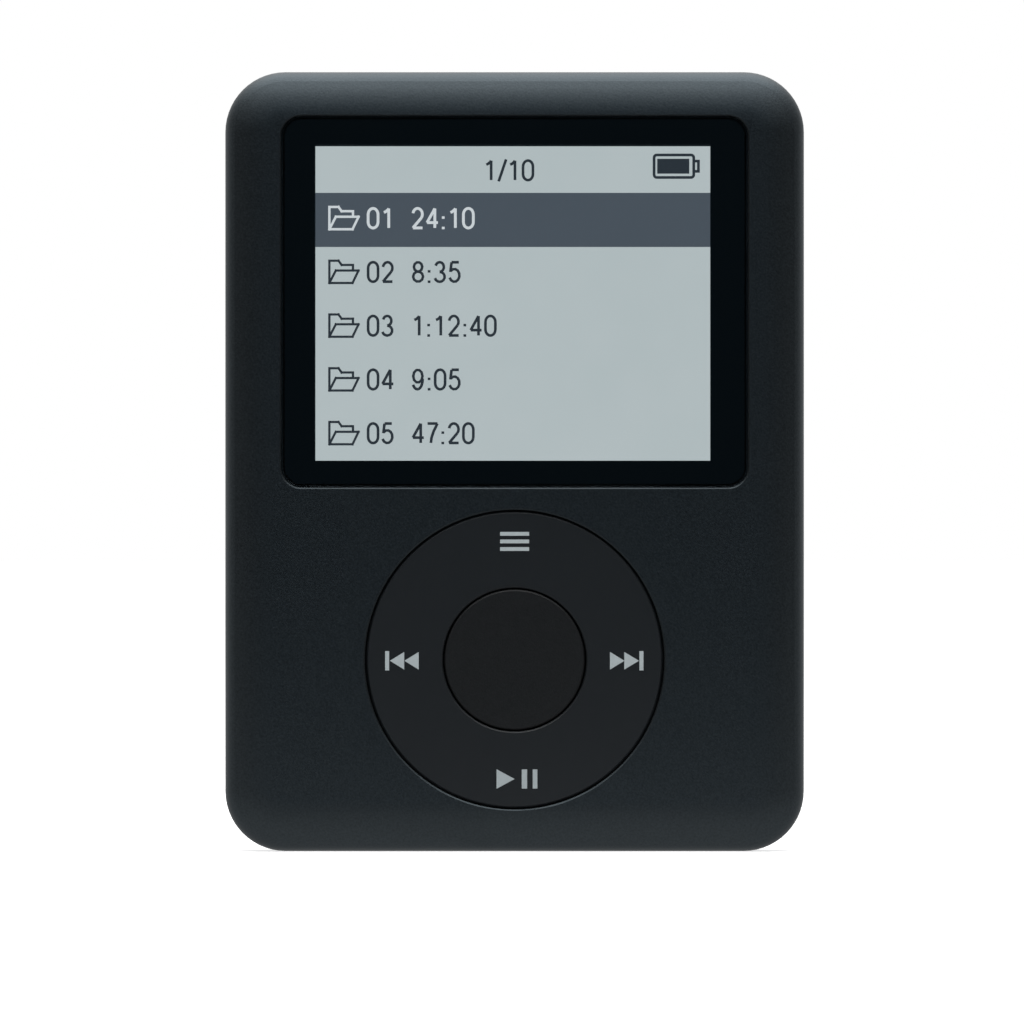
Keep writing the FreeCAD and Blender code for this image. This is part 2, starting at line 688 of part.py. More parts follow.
def make_display():
    body = new_body("display_gasket")
    outline = facing(body, "gasket_outline", "front_wall")
    display_surround(outline, "ledge_clearance + gasket_width")
    display_surround(outline, "ledge_clearance")
    slab(body, "gasket_foam", outline, "gasket_thickness")

    glass = block("lcd_glass", f"-{GLASS_WIDTH} / 2", GLASS_FRONT, GLASS_LOW, GLASS_WIDTH,
                  "glass_thickness", GLASS_HEIGHT)
    PARTS.append(glass)
    body = new_body("backlight_unit")
    outline = facing(body, "tray_outline", BACKLIGHT_FRONT)
    rounded_rectangle(outline, "0", WINDOW_MIDDLE, BACKLIGHT_WIDTH,
                      f"{GLASS_HEIGHT} + 2 * backlight_end_lap", "backlight_corner")
    slab(body, "backlight_tray", outline, "backlight_thickness")

    body = new_body("display_flex")
    strip = new_sketch(body, "flex_section", "YZ_Plane", "0")
    front = "flex_front_depth - body_depth / 2"
    back = "flex_back_depth - body_depth / 2"
    socket_top = f"{DISPLAY_SOCKET_LOW} + display_socket_height"
    polygon(strip, [(front, GLASS_LOW), (front, FLEX_RUN), (f"{back} - flex_thickness", FLEX_RUN),
                    (f"{back} - flex_thickness", socket_top), (back, socket_top),
                    (back, f"{FLEX_RUN} + flex_thickness"),
                    (f"{front} + flex_thickness", f"{FLEX_RUN} + flex_thickness"),
                    (f"{front} + flex_thickness", GLASS_LOW)])
    ribbon = pad(body, "flex_ribbon", strip, "flex_width")
    ribbon.Midplane = True


def make_control_wheel():
    body = new_body("control_wheel")
    section = new_sketch(body, "ring_section", "YZ_Plane", "0", up="wheel_middle")
    front = "wheel_recess - body_depth / 2"
    flange_front = f"{FLANGE_FRONT} - body_depth / 2"
    flange_back = f"{FLANGE_BACK} - body_depth / 2"
    polygon(section, [(front, f"{WHEEL_BORE} + edge_bevel"), (front, "wheel_radius - edge_bevel"),
                      (f"{front} + edge_bevel", "wheel_radius"), (flange_front, "wheel_radius"),
                      (flange_front, WHEEL_FLANGE), (flange_back, WHEEL_FLANGE),
                      (flange_back, WHEEL_BORE), (f"{front} + edge_bevel", WHEEL_BORE)])
    turned(body, "ring", section)
    nubs = facing(body, "nub_outlines", FLANGE_BACK, up="wheel_middle")
    for across, up in nub_places():
        rectangle(nubs, f"{across} - nub_size / 2", f"{up} - nub_size / 2", "nub_size", "nub_size")
    slab(body, "press_nubs", nubs, f"{WHEEL_BOARD_FRONT} - dome_height - nub_play - {FLANGE_BACK}")
    lugs = facing(body, "lug_outlines", FLANGE_BACK, up="wheel_middle")
    rectangle(lugs, "-lug_width / 2", LUG_INNER, "lug_width", "lug_height")
    rectangle(lugs, "-lug_width / 2", f"-{LUG_INNER} - lug_height", "lug_width", "lug_height")
    slab(body, "pivot_lugs", lugs, f"{PIVOT_END} - {FLANGE_BACK}")
    slot = new_sketch(body, "lug_slot", "XY_Plane", "wheel_middle")
    ear_slot(slot, upright=False)
    slots = pocket(body, "lug_slots", slot, f"2 * {WHEEL_FLANGE}")
    slots.Midplane = True


def nub_places():
    """The four places on the wheel where a press is felt, about the wheel's middle."""
    return [("0", NUB_CIRCLE), (NUB_CIRCLE, "0"), ("0", f"-{NUB_CIRCLE}"), (f"-{NUB_CIRCLE}", "0")]


def make_wheel_gimbal():
    body = new_body("wheel_gimbal")
    front = f"({PIVOT_DEPTH} - gimbal_thickness / 2)"
    ring = facing(body, "gimbal_outline", front, up="wheel_middle")
    circle(ring, "0", "0", GIMBAL_OUTER)
    circle(ring, "0", "0", GIMBAL_INNER)
    window = "nub_size + 2 * gimbal_nub_clearance"
    for across, up in nub_places():
        rectangle(ring, f"{across} - ({window}) / 2", f"{up} - ({window}) / 2", window, window)
    slab(body, "gimbal_ring", ring, "gimbal_thickness")
    ears = facing(body, "ear_outlines", front, up="wheel_middle")
    start = f"({GIMBAL_OUTER} - gimbal_grip)"
    post_reach = f"({POST_INNER} + post_thickness - {start})"
    ear_reach = f"({WHEEL_FLANGE} - {start} - pivot_clearance)"
    rectangle(ears, start, "-ear_width / 2", post_reach, "ear_width")
    rectangle(ears, f"-{start} - {post_reach}", "-ear_width / 2", post_reach, "ear_width")
    rectangle(ears, "-ear_width / 2", start, "ear_width", ear_reach)
    rectangle(ears, "-ear_width / 2", f"-{start} - {ear_reach}", "ear_width", ear_reach)
    slab(body, "gimbal_ears", ears, "gimbal_thickness")


def make_centre_button():
    body = new_body("centre_button")
    section = new_sketch(body, "button_section", "YZ_Plane", "0", up="wheel_middle")
    front = "wheel_recess - body_depth / 2"
    flange_front = "button_flange_depth - body_depth / 2"
    flange_back = f"{BUTTON_FLANGE_BACK} - body_depth / 2"
    polygon(section, [(front, "0"), (front, "button_radius - edge_bevel"),
                      (f"{front} + edge_bevel", "button_radius"), (flange_front, "button_radius"),
                      (flange_front, BUTTON_FLANGE), (flange_back, BUTTON_FLANGE),
                      (flange_back, "0")])
    turned(body, "button", section)
    stem = facing(body, "stem_outline", BUTTON_FLANGE_BACK, up="wheel_middle")
    rectangle(stem, "-button_stem_size / 2", "-button_stem_size / 2", "button_stem_size",
              "button_stem_size")
    slab(body, "stem", stem,
         f"{WHEEL_BOARD_FRONT} - centre_dome_height - button_play - {BUTTON_FLANGE_BACK}")


def make_wheel_board():
    body = new_body("wheel_board")
    outline = facing(body, "wheel_board_outline", WHEEL_BOARD_FRONT, up="wheel_middle")
    circle(outline, "0", "0", f"{LUG_INNER} - wheel_board_clearance")
    slab(body, "wheel_board_disc", outline, "wheel_board_thickness")

    domes = []
    for index, (across, up) in enumerate(nub_places(), start=1):
        domes.append(dome(f"wheel_dome_{index}", across, up, "dome_radius", "dome_height"))
    group("wheel_domes", domes)
    centre = dome("centre_dome", "0", "0", "centre_dome_radius", "centre_dome_height")
    centre.Label = "centre_dome"
    PARTS.append(centre)

    PARTS.append(block("wheel_connector", "-wheel_socket_width / 2", WHEEL_BOARD_BACK,
                       "wheel_middle + wheel_socket_rise - wheel_socket_height / 2",
                       "wheel_socket_width", f"{PLATE_BACK} - {WHEEL_BOARD_BACK}",
                       "wheel_socket_height"))


def make_middle_frame():
    body = new_body("middle_frame")
    inset_plate(body, "rail", SEAM, f"frame_back_depth - {SEAM}", "frame_inset")
    for name, start, end in (("front_well", SEAM, PLATE_FRONT),
                             ("back_well", PLATE_BACK, "frame_back_depth")):
        well = facing(body, f"{name}_outline", start)
        rectangle(well, f"{RAIL_INSET} - body_width / 2", RAIL_INSET,
                  f"body_width - 2 * {RAIL_INSET}", f"body_height - 2 * {RAIL_INSET}")
        pocket(body, name, well, f"{end} - {start}")

    rests = facing(body, "rest_outlines", WHEEL_BOARD_BACK, up="wheel_middle")
    rectangle(rests, "-rest_length / 2", "rest_offset", "rest_length", "rest_width")
    rectangle(rests, "-rest_length / 2", "-rest_offset - rest_width", "rest_length", "rest_width")
    slab(body, "wheel_board_rests", rests, "rest_height")
    bosses = facing(body, "board_boss_circles", f"({PLATE_FRONT} - board_boss_height)")
    board_fixings(bosses, "boss_radius")
    slab(body, "board_bosses", bosses, "board_boss_height")

    bays = facing(body, "bay_outlines", "0")
    port_bays(bays, "0")
    pocket(body, "port_bays", bays, "body_depth")
    openings = facing(body, "plate_openings", f"{PLATE_FRONT} - board_boss_height")
    frame_fixings(openings, "(screw_radius + 2 * screw_clearance)", small_holes)
    board_fixings(openings, "(screw_radius + screw_clearance)", small_holes)
    rectangle(openings, "-wheel_socket_width / 2 - flex_slot_margin",
              "wheel_middle + wheel_socket_rise - wheel_socket_height / 2 - flex_slot_margin",
              "wheel_socket_width + 2 * flex_slot_margin", "wheel_socket_height + 2 * flex_slot_margin")
    rectangle(openings, "-flex_width / 2 - flex_slot_margin", f"{FLEX_RUN} - flex_slot_margin",
              "flex_width + 2 * flex_slot_margin", "flex_thickness + 2 * flex_slot_margin")
    pocket(body, "plate_cuts", openings, "board_boss_height + plate_thickness")

    notches = facing(body, "snap_notch_outlines", "snap_depth - snap_clearance")
    for side in ("-1", "1"):
        for step in range(SNAP_COUNT):
            rectangle(notches, f"({side}) * (body_width / 2 - frame_inset / 2)",
                      f"{snap_middle(step)} - snap_length / 2 - snap_clearance",
                      f"({side}) * -(cover_wall + snap_reach + snap_clearance - frame_inset / 2)",
                      "snap_length + 2 * snap_clearance")
    pocket(body, "snap_notches", notches, "snap_thickness + 2 * snap_clearance")


def make_screws(label, places, seat, reach):
    """Pan head screws that share one node."""
    body = new_body(label)
    heads = facing(body, "head_circles", seat)
    places(heads, "screw_head_radius", small_heads)
    slab(body, "heads", heads, "screw_head_height")
    shanks = facing(body, "shank_circles", seat)
    places(shanks, "screw_radius", small_holes)
    pad(body, "shanks", shanks, reach)


def make_main_board():
    body = new_body("main_board")
    outline = facing(body, "board_outline", PLATE_BACK)
    rectangle(outline, f"-{BOARD_WIDTH} / 2", "board_low", BOARD_WIDTH, f"{BOARD_HIGH} - board_low")
    slab(body, "board", outline, "board_thickness")
    bays = facing(body, "board_bay_outlines", PLATE_BACK)
    port_bays(bays, "0")
    board_fixings(bays, "(screw_radius + 2 * screw_clearance)", small_holes)
    pocket(body, "board_bays", bays, "board_thickness")

    PARTS.append(block("processor_chip", "-processor_size / 2", BOARD_BACK, "processor_low",
                       "processor_size", "processor_thickness", "processor_size"))
    PARTS.append(block("memory_chip", "memory_left", BOARD_BACK, MEMORY_LOW, "memory_width",
                       "memory_thickness", "memory_height"))
    audio_left = f"{JACK_ACROSS} - jack_width / 2 - jack_tail_length - audio_jack_gap - audio_size"
    PARTS.append(block("audio_chip", audio_left, BOARD_BACK, "audio_low", "audio_size",
                       "audio_thickness", "audio_size"))
    PARTS.append(block("timing_crystal", "crystal_left", BOARD_BACK, "crystal_low", "crystal_width",
                       "crystal_thickness", "crystal_height"))
    PARTS.append(block("display_connector", "-display_socket_width / 2", BOARD_BACK,
                       DISPLAY_SOCKET_LOW, "display_socket_width", "display_socket_thickness",
                       "display_socket_height"))
    PARTS.append(block("battery_connector", BATTERY_SOCKET_LEFT, BOARD_BACK,
                       f"{BATTERY_SOCKET_TOP} - battery_socket_height", "battery_socket_width",
                       "battery_socket_thickness", "battery_socket_height"))
    capacitors_left = f"capacitor_boss_gap - {BOARD_BOSS_ACROSS}"
    capacitors = []
    for column in range(CAPACITOR_COLUMNS):
        for level in range(CAPACITOR_ROWS):
            capacitors.append(block(f"capacitor_{column}_{level}",
                                    f"{capacitors_left} + {column} * capacitor_pitch", BOARD_BACK,
                                    f"capacitor_low + {level} * capacitor_pitch", "capacitor_width",
                                    "capacitor_height", "capacitor_height"))
    group("board_capacitors", capacitors)


def make_battery():
    left = f"-{BATTERY_WIDTH} / 2"
    tape = block("battery_tape", f"{left} + tape_inset", PLATE_BACK, f"{BATTERY_LOW} + tape_inset",
                 f"{BATTERY_WIDTH} - 2 * tape_inset", "tape_thickness",
                 f"{BATTERY_HEIGHT} - 2 * tape_inset")
    body = new_body("battery_cell")
    section = new_sketch(body, "cell_section", "XY_Plane", BATTERY_LOW)
    rounded_rectangle(section, "0", f"({CELL_FRONT} + {CELL_BACK} - body_depth) / 2", BATTERY_WIDTH,
                      f"{CELL_BACK} - {CELL_FRONT}", "battery_edge")
    pad(body, "cell", section, BATTERY_HEIGHT)
    foam = block("battery_pad", f"{left} + pad_inset", CELL_BACK, f"{BATTERY_LOW} + pad_inset",
                 f"{BATTERY_WIDTH} - 2 * pad_inset", "pad_thickness",
                 f"{BATTERY_HEIGHT} - 2 * pad_inset")
    PARTS.extend([tape, foam])

    body = new_body("battery_leads")
    wires = new_sketch(body, "lead_circles", "XY_Plane", BATTERY_SOCKET_TOP)
    depth = f"{BOARD_BACK} + battery_socket_thickness / 2 - body_depth / 2"
    middle = f"{BATTERY_SOCKET_LEFT} + battery_socket_width / 2"
    circle(wires, f"{middle} - lead_pitch / 2", depth, "lead_radius")
    circle(wires, f"{middle} + lead_pitch / 2", depth, "lead_radius")
    pad(body, "leads", wires, f"{BATTERY_LOW} - {BATTERY_SOCKET_TOP}")


def socket_outline(sketch, inset):
    """The flat plug shape of the charge socket, with its two front corners cut off."""
    side = f"(socket_width / 2 - ({inset}))"
    back = f"{BASE_DEPTH} + (socket_thickness / 2 - ({inset}))"
    front = f"{BASE_DEPTH} - (socket_thickness / 2 - ({inset}))"
    polygon(sketch, [(f"-{side}", back), (f"-{side}", f"{front} + socket_corner"),
                     (f"socket_corner - {side}", front), (f"{side} - socket_corner", front),
                     (side, f"{front} + socket_corner"), (side, back)])


def make_charge_socket():
    body = new_body("charge_socket_shell")
    outline = new_sketch(body, "shell_outline", "XY_Plane", "socket_setback")
    socket_outline(outline, "0")
    pad(body, "shell", outline, "socket_length")
    tabs = facing(body, "tab_outlines", BOARD_BACK)
    reach = "socket_wall + bay_clearance + tab_width"
    low = "socket_setback + tab_rise"
    rectangle(tabs, "socket_width / 2 - socket_wall", low, reach, "tab_height")
    rectangle(tabs, f"-(socket_width / 2 - socket_wall) - ({reach})", low, reach, "tab_height")
    slab(body, "solder_tabs", tabs, "tab_thickness")
    mouth = new_sketch(body, "mouth_outline", "XY_Plane", "socket_setback")
    socket_outline(mouth, "socket_wall")
    pocket(body, "mouth", mouth, "socket_length - socket_wall", backwards=True)

    body = new_body("charge_socket_tongue")
    root_low = "(socket_setback + socket_length - socket_wall - tongue_root)"
    root = new_sketch(body, "root_outline", "XY_Plane", root_low)
    socket_outline(root, "socket_wall")
    pad(body, "root", root, "tongue_root")
    blade = new_sketch(body, "blade_outline", "XY_Plane", f"{root_low} - tongue_length")
    rectangle(blade, "-tongue_width / 2", f"{BASE_DEPTH} - tongue_thickness / 2", "tongue_width",
              "tongue_thickness")
    pad(body, "blade", blade, "tongue_length")

    contacts = []
    for index in range(CONTACT_COUNT):
        left = f"({index - CONTACT_COUNT // 2}) * contact_pitch - contact_width / 2"
        front = f"({PORT_DEPTH} - tongue_thickness / 2 - contact_thickness)"
        contacts.append(block(f"contact_{index + 1}", left, front, f"{root_low} - contact_length",
                              "contact_width", "contact_thickness", "contact_length"))
    group("charge_socket_contacts", contacts)


def make_headphone_jack():
    body = new_body("headphone_jack_body")
    outline = new_sketch(body, "jack_outline", "XY_Plane", "jack_setback")
    front = f"{BASE_DEPTH} - jack_front_reach"
    back = "body_depth / 2 - cover_wall - jack_cover_gap"
    rectangle(outline, f"{JACK_ACROSS} - jack_width / 2", front, "jack_width", f"{back} - ({front})")
    pad(body, "jack_block", outline, "jack_length")
    nose = new_sketch(body, "nose_circle", "XY_Plane", "jack_nose_setback")
    circle(nose, JACK_ACROSS, BASE_DEPTH, "jack_hole_radius - jack_nose_clearance")
    pad(body, "jack_nose", nose, "jack_setback - jack_nose_setback")
    bore = new_sketch(body, "bore_circle", "XY_Plane", "jack_nose_setback")
    circle(bore, JACK_ACROSS, BASE_DEPTH, "jack_bore_radius")
    pocket(body, "jack_bore", bore, "jack_bore_length", backwards=True)

    tails = []
    for index in range(JACK_TAIL_COUNT):
        tails.append(block(f"jack_tail_{index + 1}", f"{JACK_ACROSS} - jack_width / 2 - jack_tail_length",
                           BOARD_BACK, f"jack_setback + {index} * jack_tail_pitch + jack_tail_pitch",
                           "jack_tail_length", "jack_tail_thickness", "jack_tail_width"))
    group("jack_contacts", tails)


def make_hold_switch():
    body = new_body("hold_switch_body")
    outline = new_sketch(body, "switch_outline", "XY_Plane", "hold_body_low")
    rectangle(outline, f"{HOLD_ACROSS} - hold_body_length / 2", f"{BASE_DEPTH} - hold_body_thickness / 2",
              "hold_body_length", "hold_body_thickness")
    pad(body, "switch_case", outline, "hold_body_height")
    slot = new_sketch(body, "lever_slot_outline", "XY_Plane", "hold_body_low")
    slot_length = "hold_stem_size + hold_travel + 4 * hold_slot_clearance"
    rectangle(slot, f"{HOLD_ACROSS} - ({slot_length}) / 2",
              f"{BASE_DEPTH} - hold_stem_size / 2 - 2 * hold_slot_clearance", slot_length,
              "hold_stem_size + 4 * hold_slot_clearance")
    pocket(body, "lever_slot", slot, "hold_stem_length", backwards=True)

    body = new_body("hold_knob")
    face = new_sketch(body, "knob_outline", "XY_Plane", "hold_knob_recess + grip_height")
    rounded_rectangle(face, HOLD_KNOB_ACROSS, BASE_DEPTH, "hold_knob_length", "hold_knob_width",
                      "hold_slot_corner")
    pad(body, "knob", face, f"{HOLD_FLANGE_LOW} - hold_knob_recess - grip_height")
    grips = new_sketch(body, "grip_outlines", "XY_Plane", "hold_knob_recess")
    for step in (-1, 0, 1):
        rectangle(grips, f"{HOLD_KNOB_ACROSS} + ({step}) * grip_pitch - grip_width / 2",
                  f"{BASE_DEPTH} - grip_length / 2", "grip_width", "grip_length")
    pad(body, "grips", grips, "grip_height")
    flange = new_sketch(body, "flange_outline", "XY_Plane", HOLD_FLANGE_LOW)
    flange_front = f"{BASE_DEPTH} - hold_flange_front_reach"
    flange_back = "body_depth / 2 - back_roll_depth - hold_flange_roll_gap"
    rectangle(flange, f"{HOLD_KNOB_ACROSS} - {HOLD_FLANGE_LENGTH} / 2", flange_front,
              HOLD_FLANGE_LENGTH, f"{flange_back} - ({flange_front})")
    pad(body, "flange", flange, "hold_flange_thickness")
    stem = new_sketch(body, "stem_outline", "XY_Plane", f"{HOLD_FLANGE_LOW} + hold_flange_thickness")
    rectangle(stem, f"{HOLD_KNOB_ACROSS} - hold_stem_size / 2", f"{BASE_DEPTH} - hold_stem_size / 2",
              "hold_stem_size", "hold_stem_size")
    pad(body, "stem", stem, "hold_stem_length")


def check_and_write():
    """Stop on any failed feature, then write each piece to its own file."""
    DOCUMENT.recompute()
    for item in DOCUMENT.Objects:
        if "Invalid" in item.State or "Error" in item.State:
            raise RuntimeError(f"{item.Label} failed: {item.State}")
    os.makedirs("parts", exist_ok=True)
    for part in PARTS:
        shape = part.Shape
        if shape.isNull() or not shape.isValid() or not shape.Solids:
            raise RuntimeError(f"{part.Label} has no valid solid")
        shape.exportStep(f"parts/{part.Label}.step")
        print(f"{part.Label}: {len(shape.Solids)} solid(s), {shape.Volume:.2f} mm3")


make_front_housing()
make_rear_cover()
make_window()
make_display()
make_control_wheel()
make_wheel_gimbal()
make_centre_button()
make_wheel_board()
make_middle_frame()
make_screws("frame_screws", frame_fixings, PLATE_BACK, f"{PLATE_BACK} - {PLATE_FRONT} + screw_reach")
make_main_board()
make_screws("board_screws", board_fixings, BOARD_BACK,
            f"{BOARD_BACK} - {PLATE_FRONT} + board_boss_height - screw_clearance")
make_battery()
make_charge_socket()
make_headphone_jack()
make_hold_switch()
check_and_write()
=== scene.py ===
# Looks of a pocket audio story player: a dark blasted metal front, a lit list display behind a clear
# window, a satin control wheel with printed marks and a polished steel back.
import json
from math import cos, pi, radians, sin

import bmesh
import bpy
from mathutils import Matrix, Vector


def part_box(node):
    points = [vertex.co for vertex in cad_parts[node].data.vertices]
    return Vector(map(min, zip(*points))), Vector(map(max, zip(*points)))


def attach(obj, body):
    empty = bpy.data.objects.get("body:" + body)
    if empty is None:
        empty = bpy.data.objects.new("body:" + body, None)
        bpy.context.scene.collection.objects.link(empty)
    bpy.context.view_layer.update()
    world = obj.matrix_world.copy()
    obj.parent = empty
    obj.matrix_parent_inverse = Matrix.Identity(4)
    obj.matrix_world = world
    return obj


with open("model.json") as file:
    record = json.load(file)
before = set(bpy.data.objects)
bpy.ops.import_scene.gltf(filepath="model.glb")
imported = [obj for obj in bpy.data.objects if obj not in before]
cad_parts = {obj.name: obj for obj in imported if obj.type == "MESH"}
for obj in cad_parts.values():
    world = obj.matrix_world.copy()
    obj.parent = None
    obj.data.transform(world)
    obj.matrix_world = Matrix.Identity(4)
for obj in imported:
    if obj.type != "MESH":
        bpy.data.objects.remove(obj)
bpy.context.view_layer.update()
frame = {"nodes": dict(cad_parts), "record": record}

MM = 0.001

# Places read from the frame, in metres
WHEEL_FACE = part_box("control_wheel")[0].y
WHEEL_MIDDLE = sum(corner.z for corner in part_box("centre_button")) / 2
SCREEN_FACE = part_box("lcd_glass")[0].y

# The lit picture, seen through the opening in the mask. It laps on behind the mask to the right and
# below. Places on it are measured from its upper left corner.
SCREEN_LEFT = -17.88 * MM
SCREEN_TOP = 63.3 * MM
SCREEN_WIDTH = 35.43 * MM
SCREEN_HEIGHT = 28.22 * MM
SCREEN_LAP = 0.6 * MM
STATUS_HEIGHT = 4.18 * MM
ROW_PITCH = 4.826 * MM
ROW_FOOT = 1.56 * MM
BAND_HEIGHT = 4.86 * MM
FOLDER_LEFT = 1.25 * MM
TITLE_LEFT = 4.6 * MM
COUNTER_LEFT = 15.1 * MM
COUNTER_FOOT = 3.15 * MM
LAYER = 0.012 * MM

# What the picture says
TITLES = ("01  24:10", "02  8:35", "03  1:12:40", "04  9:05", "05  47:20")
COUNTER = "1/10"

# Drawn figures
FIGURE_HEIGHT = 1.98 * MM
FIGURE_STROKE = 0.25 * MM
SIGN_STROKE = 0.21 * MM
ARC_STEPS = 10

# Folder sign, in millimetres from its lower left corner
FOLDER_BACK = ((0.0, 0.0), (0.0, 2.0), (0.82, 2.0), (1.1, 1.62), (2.12, 1.62), (2.12, 1.12))
FOLDER_FLAP = ((0.0, 0.0), (0.58, 1.12), (2.62, 1.12), (2.08, 0.0))

# Charge sign: its case, the nub that stands off its right end, and the full bar inside
BATTERY_LEFT = 30.4 * MM
BATTERY_FOOT = 2.8 * MM
BATTERY_WIDTH = 3.56 * MM
BATTERY_HEIGHT = 2.02 * MM
BATTERY_ROUNDING = 0.25 * MM
NUB_NEAR = 0.1 * MM
NUB_FAR = 0.42 * MM
NUB_INSET = 0.55 * MM
CHARGE_LEFT = 0.28 * MM
CHARGE_FOOT = 0.34 * MM
CHARGE_WIDTH = 2.88 * MM
CHARGE_HEIGHT = 1.34 * MM

# Wheel marks, in millimetres from the wheel's middle, one group to a line: level, height of the bars,
# height of the triangles, bars as (middle, width) and triangles as (base, tip)
WHEEL_MARKS = (
    (-10.7, 1.72, 1.75, ((0.88, 0.48), (1.83, 0.42)), ((-1.62, 0.0),)),
    (-0.1, 1.73, 1.58, ((-11.43, 0.36),), ((-9.9, -11.18), (-8.6, -9.88))),
    (-0.1, 1.73, 1.58, ((11.37, 0.36),), ((8.55, 9.85), (9.83, 11.15))),
)
LIST_BARS = 3
LIST_LOW = 9.75 * MM
LIST_PITCH = 0.68 * MM
LIST_WIDTH = 2.6 * MM
LIST_HEIGHT = 0.34 * MM

# Studio: light that falls on the player, and how bright gloss sees each side, in relative strength
WHITE = (1.0, 1.0, 1.0, 1.0)
AMBIENT = 0.6
GLOSS_FRONT = 0.125
GLOSS_SIDE = 0.35
GLOSS_BACK = 0.8
GLOSS_ABOVE = 1.5
GLOSS_TINT = "#acdcfc"

# Overhead lamp, in metres and watts
LAMP_WIDTH = 1.0
LAMP_DEPTH = 0.9
LAMP_HEIGHT = 0.8
LAMP_POWER = 6.0

# Floor: its own shade, the light that lifts it to white, and how bright gloss sees it in front and near
FLOOR_HALF = 6.0
FLOOR_SHADE = (0.8, 0.8, 0.8, 1.0)
FLOOR_LIFT = 0.55
FLOOR_FRONT_GLOSS = 0.04
FLOOR_NEAR_GLOSS = 0.8

# Camera: a long lens, straight on, with the player a little left of the picture's middle
CAMERA_PLACE = (-0.235 * MM, -1024.0 * MM, 30.47 * MM)
CAMERA_LENS = 400
CAMERA_SENSOR = 36


def colour(text):
    """A colour written as sRGB hex, turned to the linear values that a shader takes."""
    parts = [int(text[start:start + 2], 16) / 255 for start in (1, 3, 5)]
    linear = [part / 12.92 if part <= 0.04045 else ((part + 0.055) / 1.055) ** 2.4 for part in parts]
    return (*linear, 1.0)


def add(tree, kind, inputs=None, **settings):
    """Add a node with its settings, and give each named or numbered input a value or a link."""
    made = tree.nodes.new(kind)
    for name, setting in settings.items():
        setattr(made, name, setting)
    for name, source in (inputs or {}).items():
        if isinstance(source, bpy.types.NodeSocket):
            tree.links.new(source, made.inputs[name])
        else:
            made.inputs[name].default_value = source
    return made


def per_mm(size):
    """The scale that gives a pattern a feature of this size in millimetres."""
    return 1 / (size * MM)


def new_material(name, **plain):
    """A material with a Principled shader whose plain sockets are set by their names."""
    material = bpy.data.materials.new(name)
    material.use_nodes = True
    shader = material.node_tree.nodes["Principled BSDF"]
    for socket, setting in plain.items():
        shader.inputs[socket.replace("_", " ")].default_value = setting
    return material, material.node_tree, shader


def finish(name, dark, pale, rough, size, depth, cells=False, stretch=(1.0, 1.0, 1.0), patches=None,
           **plain):
    """A surface whose colour, gloss and relief follow one grain of a real size in millimetres.

    cells draws round cells in place of grain, stretch draws the grain out into lines, and patches is
    the size in millimetres and the strength of a slower change of gloss over the grain.
    """
    material, tree, shader = new_material(name, **plain)
    where = add(tree, "ShaderNodeTexCoord").outputs["Object"]
    drawn = add(tree, "ShaderNodeMapping", {"Vector": where, "Scale": stretch}).outputs["Vector"]
    kind, output = ("ShaderNodeTexVoronoi", "Distance") if cells else ("ShaderNodeTexNoise", "Fac")
    level = add(tree, kind, {"Vector": drawn, "Scale": per_mm(size)}).outputs[output]
    tone = add(tree, "ShaderNodeMix", {"Factor": level, "A": colour(dark), "B": colour(pale)},
               data_type="RGBA").outputs["Result"]
    tree.links.new(tone, shader.inputs["Base Color"])
    gloss = add(tree, "ShaderNodeMapRange",
                {"Value": level, "To Min": rough[0], "To Max": rough[1]}).outputs["Result"]
    if patches:
        patch_size, swing = patches
        slow = add(tree, "ShaderNodeTexNoise",
                   {"Vector": where, "Scale": per_mm(patch_size)}).outputs["Fac"]
        shift = add(tree, "ShaderNodeMapRange",
                    {"Value": slow, "To Min": -swing, "To Max": swing}).outputs["Result"]
        gloss = add(tree, "ShaderNodeMath", {0: gloss, 1: shift}).outputs[0]
    tree.links.new(gloss, shader.inputs["Roughness"])
    bump = add(tree, "ShaderNodeBump", {"Height": level, "Distance": depth * MM}).outputs["Normal"]
    tree.links.new(bump, shader.inputs["Normal"])
    return material


